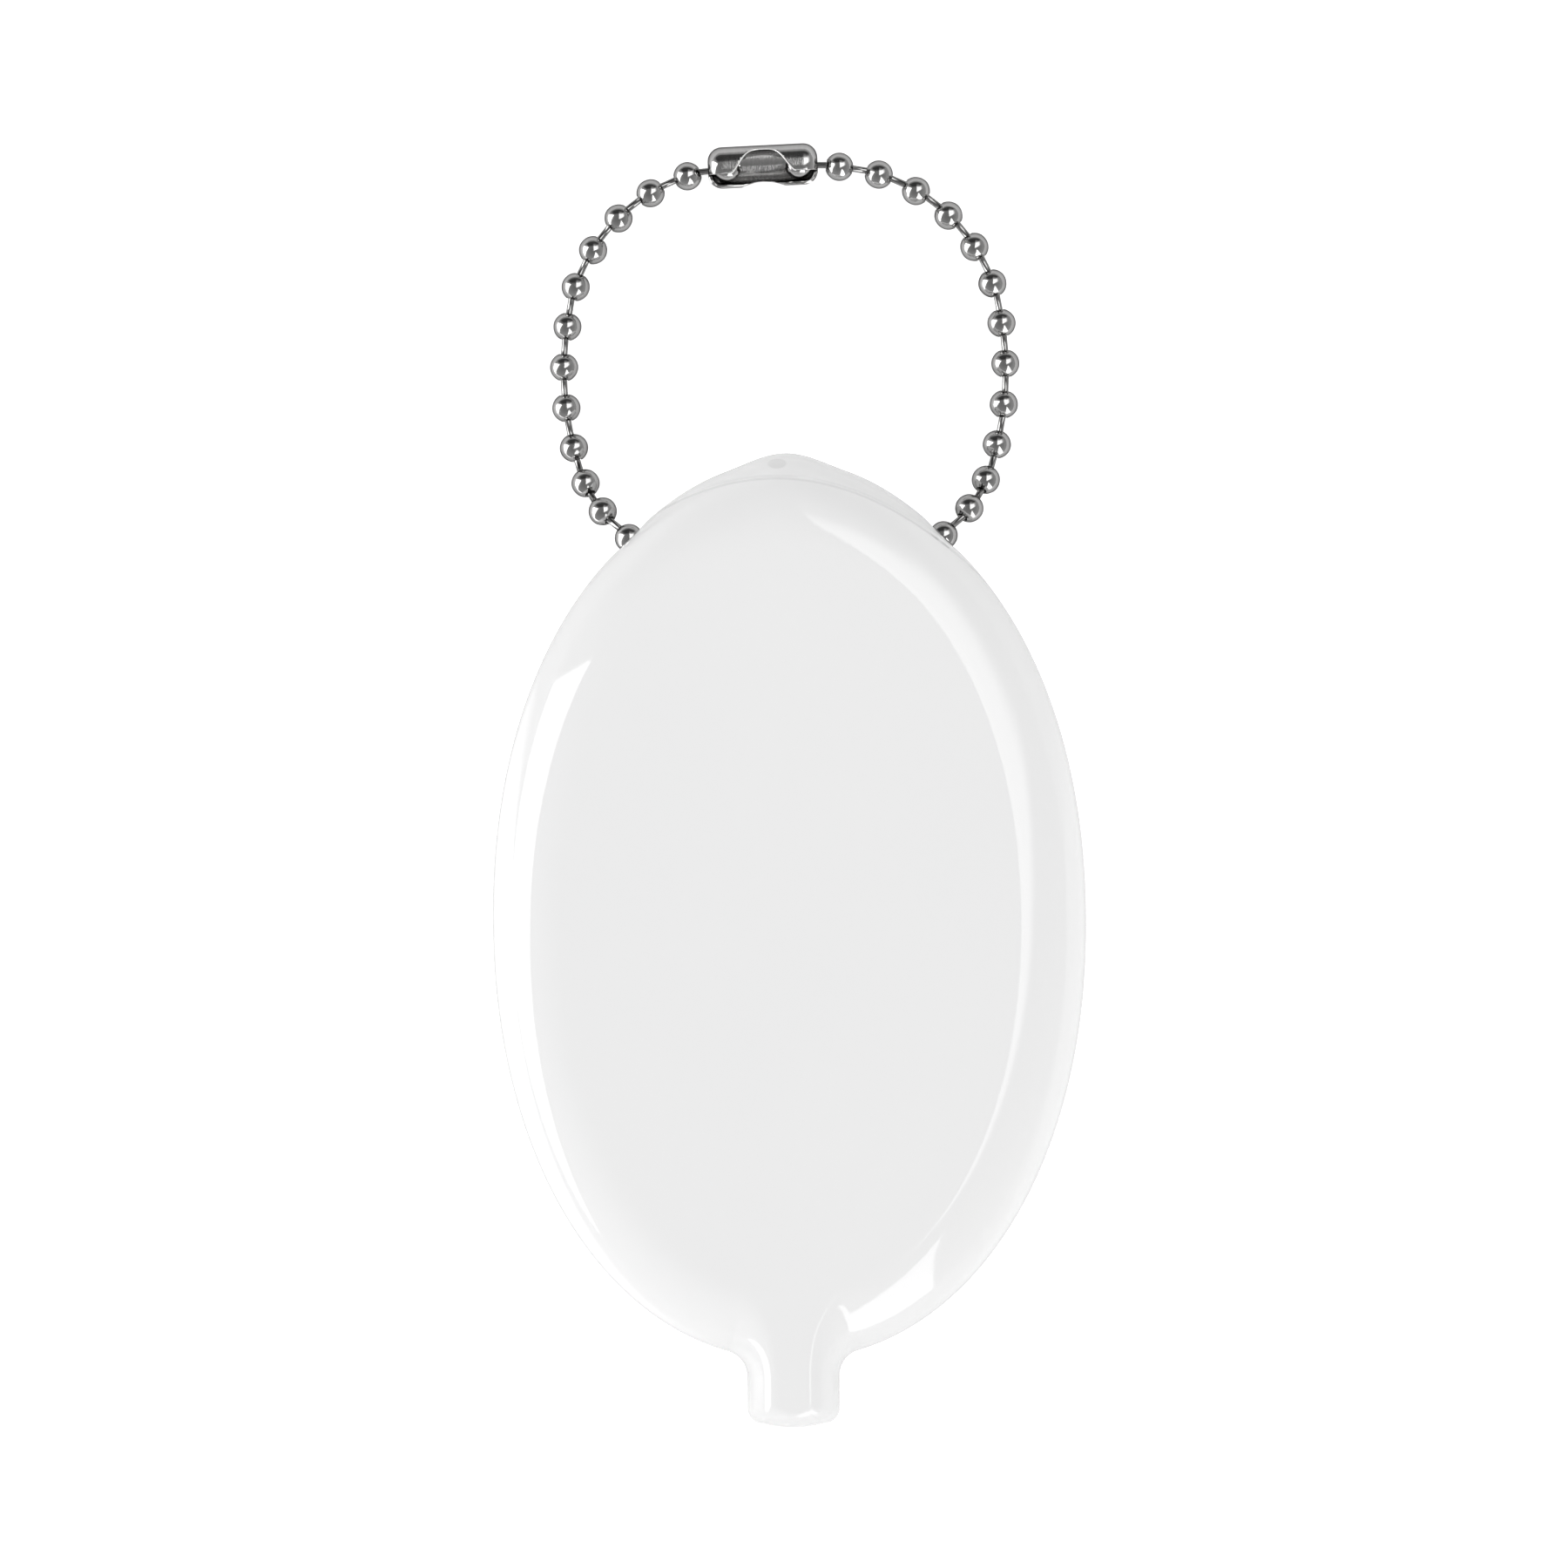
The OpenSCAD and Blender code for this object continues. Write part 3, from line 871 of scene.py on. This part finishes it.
ROOM_LIGHT = 1.045
ZENITH_LIGHT = 0.8
ROOM_SHINE = 0.5
ZENITH_SHINE = 0.47
PANEL_LIGHT = 0.25
SHADE_LIGHT = 0.5
LEFT_PANEL = ([(-1, 0.40, -0.3), (-1, 0.55, 1.3), (-1, -0.7, 0.09), (-1, -0.95, -0.3)],
              4.5, (0.01, 0.015, 0.01, 0.02))
RIGHT_PANEL = ([(0.10, -0.16, 1), (0.12, 1.2, 1), (0.95, 1.2, 1), (0.95, 0.22, 1)],
               2.4, (0.01, 0.2, 0.25, 0.05))
LOWER_PANEL = ([(0.40, -0.38, 1), (0.62, -0.79, -0.09), (0.12, -1, 0), (0.12, -1, 0.42)],
               3.1, (0.01, 0.01, 0.02, 0.02))
SHADE = ([(0.9, 1, 0.25), (0.9, 1, 1.6), (-1.2, 1, 1.6), (-1.2, 1, 0.25)],
         0.85, (0.1, 0.15, 0.1, 0.1))


def studio():
    world = bpy.data.worlds.new("studio")
    bpy.context.scene.world = world
    world.use_nodes = True
    tree = world.node_tree
    place = node(tree, "ShaderNodeTexCoord").outputs["Generated"]

    def beyond(normal, soft):
        """1 on the side of a plane through the object that its normal points to, and 0 on the other."""
        dot = node(tree, "ShaderNodeVectorMath", {1: normal}, operation="DOT_PRODUCT")
        tree.links.new(place, dot.inputs[0])
        return faded(tree, dot.outputs["Value"], (-soft, soft), kind="SMOOTHSTEP")

    def panel(corners, strength, softness):
        """A panel from its corners, which go round it, with the softness of each edge."""
        middle = sum((Vector(c).normalized() for c in corners), Vector())
        total = strength
        for i, corner in enumerate(corners):
            normal = Vector(corner).cross(Vector(corners[(i + 1) % len(corners)])).normalized()
            if normal.dot(middle) < 0:
                normal = -normal
            total = maths(tree, "MULTIPLY", beyond(normal, softness[i]), total)
        return total

    split = node(tree, "ShaderNodeSeparateXYZ")
    tree.links.new(place, split.inputs[0])
    height = maths(tree, "MAXIMUM", split.outputs["Z"], 0)
    room_shine = maths(tree, "MULTIPLY_ADD", height, ROOM_SHINE * (ZENITH_SHINE - 1), ROOM_SHINE)
    room_light = maths(tree, "MULTIPLY_ADD", height, ROOM_LIGHT * (ZENITH_LIGHT - 1), ROOM_LIGHT)
    left, right, lower = [panel(*given) for given in (LEFT_PANEL, RIGHT_PANEL, LOWER_PANEL)]
    panels = maths(tree, "ADD", maths(tree, "ADD", left, right), lower)
    shade = panel(*SHADE)
    unshaded = maths(tree, "SUBTRACT", 1, shade)
    shining = maths(tree, "MULTIPLY", maths(tree, "ADD", room_shine, panels), unshaded)
    soft = maths(tree, "MULTIPLY", maths(tree, "MULTIPLY_ADD", panels, PANEL_LIGHT, room_light),
                 maths(tree, "MULTIPLY_ADD", shade, -SHADE_LIGHT, 1))
    glossy = node(tree, "ShaderNodeLightPath").outputs["Is Glossy Ray"]
    total = maths(tree, "ADD", soft, maths(tree, "MULTIPLY", glossy, maths(tree, "SUBTRACT", shining, soft)))
    background = tree.nodes["Background"]
    tree.links.new(total, background.inputs["Strength"])
    background.inputs["Color"].default_value = (1, 1, 1, 1)


studio()

bpy.context.scene.view_settings.view_transform = "Standard"
